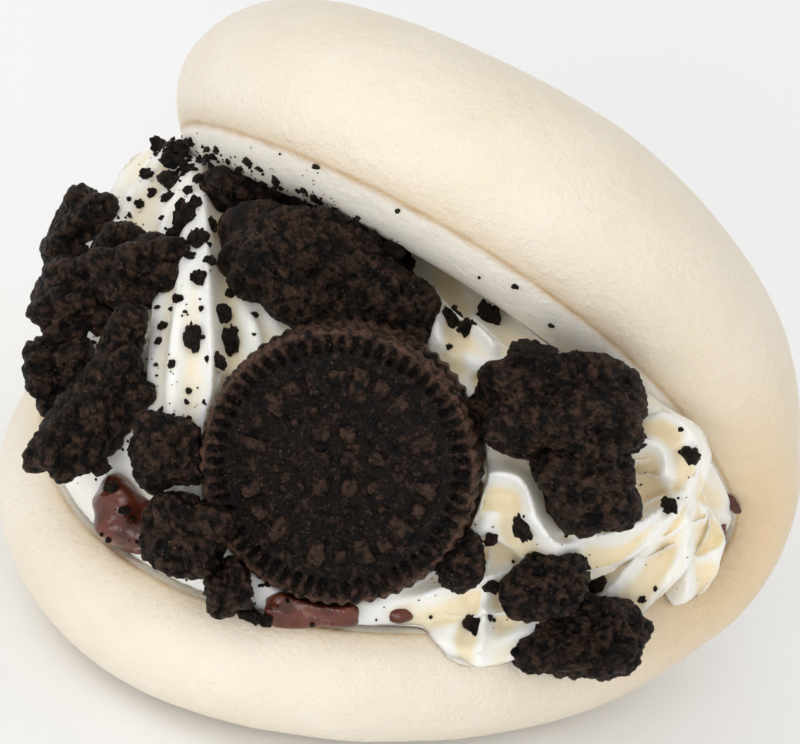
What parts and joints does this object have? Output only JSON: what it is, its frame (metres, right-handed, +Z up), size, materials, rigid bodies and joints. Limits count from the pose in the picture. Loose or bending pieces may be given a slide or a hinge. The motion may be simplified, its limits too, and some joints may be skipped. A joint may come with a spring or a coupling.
{
  "type": "filled steamed bun",
  "caption": "Folded steamed bun, open at the front, filled with whipped cream, chocolate sauce, a whole sandwich cookie and broken cookie.",
  "frame": {"origin": "middle of the bounding box at the flat underside", "axes": "+X along the fold, +Z up, the mouth opens towards -Y"},
  "size_m": [0.1276, 0.1069, 0.1037],
  "materials": {
    "dough": "smooth steamed wheat dough, soft sheen, ivory",
    "cream": "piped whipped cream, soft, off-white",
    "sauce": "glossy dark chocolate sauce",
    "cookie": "dry, grainy black cocoa biscuit",
    "cookie_cream": "matt white cookie filling"
  },
  "bodies": {
    "root": {"bun": "dough", "whipped_cream": "cream", "chocolate_sauce": "sauce", "cookie_wafer_front": "cookie", "cookie_filling": "cookie_cream", "cookie_wafer_back": "cookie", "cookie_piece_a": "cookie", "cookie_piece_b": "cookie", "cookie_piece_c": "cookie", "cookie_piece_d": "cookie", "cookie_piece_e": "cookie", "cookie_piece_f": "cookie", "cookie_piece_g": "cookie", "cookie_piece_h": "cookie", "cookie_piece_i": "cookie", "cookie_piece_j": "cookie", "cookie_piece_k": "cookie", "cookie_piece_l": "cookie", "cookie_piece_m": "cookie", "cookie_piece_n": "cookie", "cookie_piece_o": "cookie", "cookie_piece_p": "cookie", "cookie_piece_q": "cookie", "cookie_piece_r": "cookie"}
  },
  "joints": []
}
